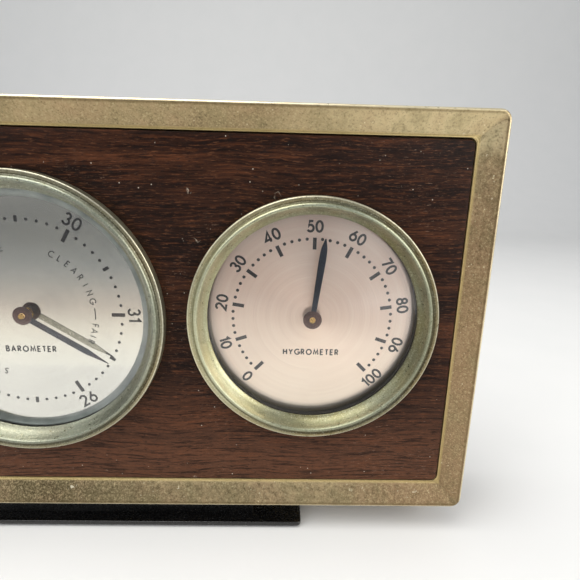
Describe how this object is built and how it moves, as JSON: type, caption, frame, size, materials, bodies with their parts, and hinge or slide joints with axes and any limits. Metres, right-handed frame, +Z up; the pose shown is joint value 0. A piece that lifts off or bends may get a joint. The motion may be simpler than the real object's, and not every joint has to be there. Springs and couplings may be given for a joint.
{
  "type": "desk weather station with dial hygrometer",
  "caption": "Brass-framed walnut desk weather station on a black stand, with a dial hygrometer at the right, an aneroid barometer in the middle and a thermometer at the left.",
  "frame": {"origin": "centre of the bounding box in X and Y, at the underside of the felt pad", "axes": "+Z up; -Y is the front, where the dials face; +X is to the right seen from the front"},
  "size_m": [0.28, 0.065, 0.1357],
  "materials": {
    "aged_brass": "satin brass, tarnished olive with lighter spots",
    "patinated_brass": "turned brass with a grey-green patina",
    "walnut": "dark walnut veneer, satin",
    "blackened_steel": "matt black",
    "black_lacquered_steel": "satin black lacquer",
    "black_enamel": "satin black enamel",
    "zinc_steel": "zinc-plated steel",
    "felt": "thin felt",
    "crystal_glass": "clear domed glass",
    "black_spacer": "matt black",
    "champagne_dial": "circular brushed, pale pinkish champagne",
    "silver_dial": "polished silver",
    "bright_aluminium": "bright turned aluminium",
    "case_aluminium": "pressed aluminium, satin",
    "movement_brass": "clean machined brass",
    "capsule_alloy": "pale corrugated bronze",
    "spring_steel": "tempered spring steel",
    "humidity_strip": "copper strip with a paper-like sensing layer",
    "bimetal_strip": "rolled bimetal strip",
    "blued_steel": "polished blue-black"
  },
  "bodies": {
    "housing": {"frame": "aged_brass", "wood_panel": "walnut", "chassis_plate": "blackened_steel", "frame_screws": "zinc_steel", "cover_posts": "zinc_steel", "back_cover": "black_lacquered_steel", "back_cover_screws": "zinc_steel", "stand": "black_enamel", "stand_screws": "zinc_steel", "stand_nuts": "zinc_steel", "base_pad": "felt", "dial_clips": "zinc_steel", "dial_clip_screws": "zinc_steel", "hygrometer_bezel": "patinated_brass", "hygrometer_crystal": "crystal_glass", "hygrometer_spacer": "black_spacer", "hygrometer_dial": "champagne_dial", "hygrometer_case": "case_aluminium", "hygrometer_bush": "movement_brass", "hygrometer_bridge": "movement_brass", "thermometer_bezel": "patinated_brass", "thermometer_crystal": "crystal_glass", "thermometer_spacer": "black_spacer", "thermometer_dial": "champagne_dial", "thermometer_case": "case_aluminium", "thermometer_bush": "movement_brass", "thermometer_bridge": "movement_brass", "barometer_bezel": "patinated_brass", "barometer_crystal": "crystal_glass", "barometer_gasket": "black_spacer", "barometer_reflector_ring": "bright_aluminium", "barometer_dial": "silver_dial", "barometer_case": "case_aluminium", "barometer_base_plate": "movement_brass", "barometer_case_feet": "zinc_steel", "barometer_dial_pillars": "movement_brass", "barometer_capsule": "capsule_alloy", "barometer_spring": "spring_steel", "barometer_spring_pin": "movement_brass", "barometer_rocker_frame": "movement_brass", "barometer_chain": "zinc_steel", "barometer_bridge": "movement_brass", "barometer_arbor_bracket": "movement_brass", "barometer_hairspring": "spring_steel"},
    "hygrometer_regulator_lever": {"hygrometer_regulator": "zinc_steel", "hygrometer_coil": "humidity_strip"},
    "hygrometer_hand": {"hygrometer_arbor": "movement_brass", "hygrometer_pointer": "blued_steel"},
    "thermometer_regulator_lever": {"thermometer_regulator": "zinc_steel", "thermometer_coil": "bimetal_strip"},
    "thermometer_hand": {"thermometer_arbor": "movement_brass", "thermometer_pointer": "blued_steel"},
    "barometer_hand": {"barometer_arbor": "movement_brass", "barometer_pointer": "blued_steel"},
    "barometer_lever": {"barometer_lever": "movement_brass"},
    "barometer_rocker": {"barometer_rocker": "zinc_steel"},
    "barometer_adjuster": {"barometer_adjusting_screw": "zinc_steel"}
  },
  "joints": [
    {"name": "hygrometer_regulator_turn", "type": "hinge", "parent": "housing", "child": "hygrometer_regulator_lever", "pos_m": [0.0882, -0.01355, 0.0735], "axis": [0, 1, 0], "range_deg": [-20, 20]},
    {"name": "hygrometer_pointer_turn", "type": "hinge", "parent": "hygrometer_regulator_lever", "child": "hygrometer_hand", "pos_m": [0.0882, -0.02705, 0.0735], "axis": [0, 1, 0], "range_deg": [-142, 128], "stiffness_Nm_per_rad": 0.0005, "deforming": ["hygrometer_coil"]},
    {"name": "thermometer_regulator_turn", "type": "hinge", "parent": "housing", "child": "thermometer_regulator_lever", "pos_m": [-0.0882, -0.01355, 0.0735], "axis": [0, 1, 0], "range_deg": [-20, 20]},
    {"name": "thermometer_pointer_turn", "type": "hinge", "parent": "thermometer_regulator_lever", "child": "thermometer_hand", "pos_m": [-0.0882, -0.02705, 0.0735], "axis": [0, 1, 0], "range_deg": [-157.5, 112.5], "stiffness_Nm_per_rad": 0.0005, "deforming": ["thermometer_coil"]},
    {"name": "barometer_pointer_turn", "type": "hinge", "parent": "housing", "child": "barometer_hand", "pos_m": [0, -0.02795, 0.0735], "axis": [0, 1, 0], "range_deg": [-331.5, 13.5], "stiffness_Nm_per_rad": 0.002, "deforming": ["barometer_hairspring"]},
    {"name": "barometer_lever_swing", "type": "hinge", "parent": "housing", "child": "barometer_lever", "pos_m": [-0.023, -0.01178, 0.0735], "axis": [0, 0, 1], "range_deg": [-1.36, 0.06], "deforming": ["barometer_spring", "barometer_capsule"]},
    {"name": "barometer_rocker_turn", "type": "hinge", "parent": "housing", "child": "barometer_rocker", "pos_m": [0.022, -0.01255, 0.0735], "axis": [0, 0, 1], "range_deg": [-0.9, 20.8], "deforming": ["barometer_chain"]},
    {"name": "barometer_adjuster_turn", "type": "hinge", "parent": "housing", "child": "barometer_adjuster", "pos_m": [-0.02, -0.00655, 0.0735], "axis": [0, 1, 0], "range_deg": [-360, 360]}
  ],
  "couplings": [
    {"joint": "barometer_lever_swing", "follows": "barometer_pointer_turn", "ratio": 0.004},
    {"joint": "barometer_rocker_turn", "follows": "barometer_pointer_turn", "ratio": -0.0625}
  ]
}
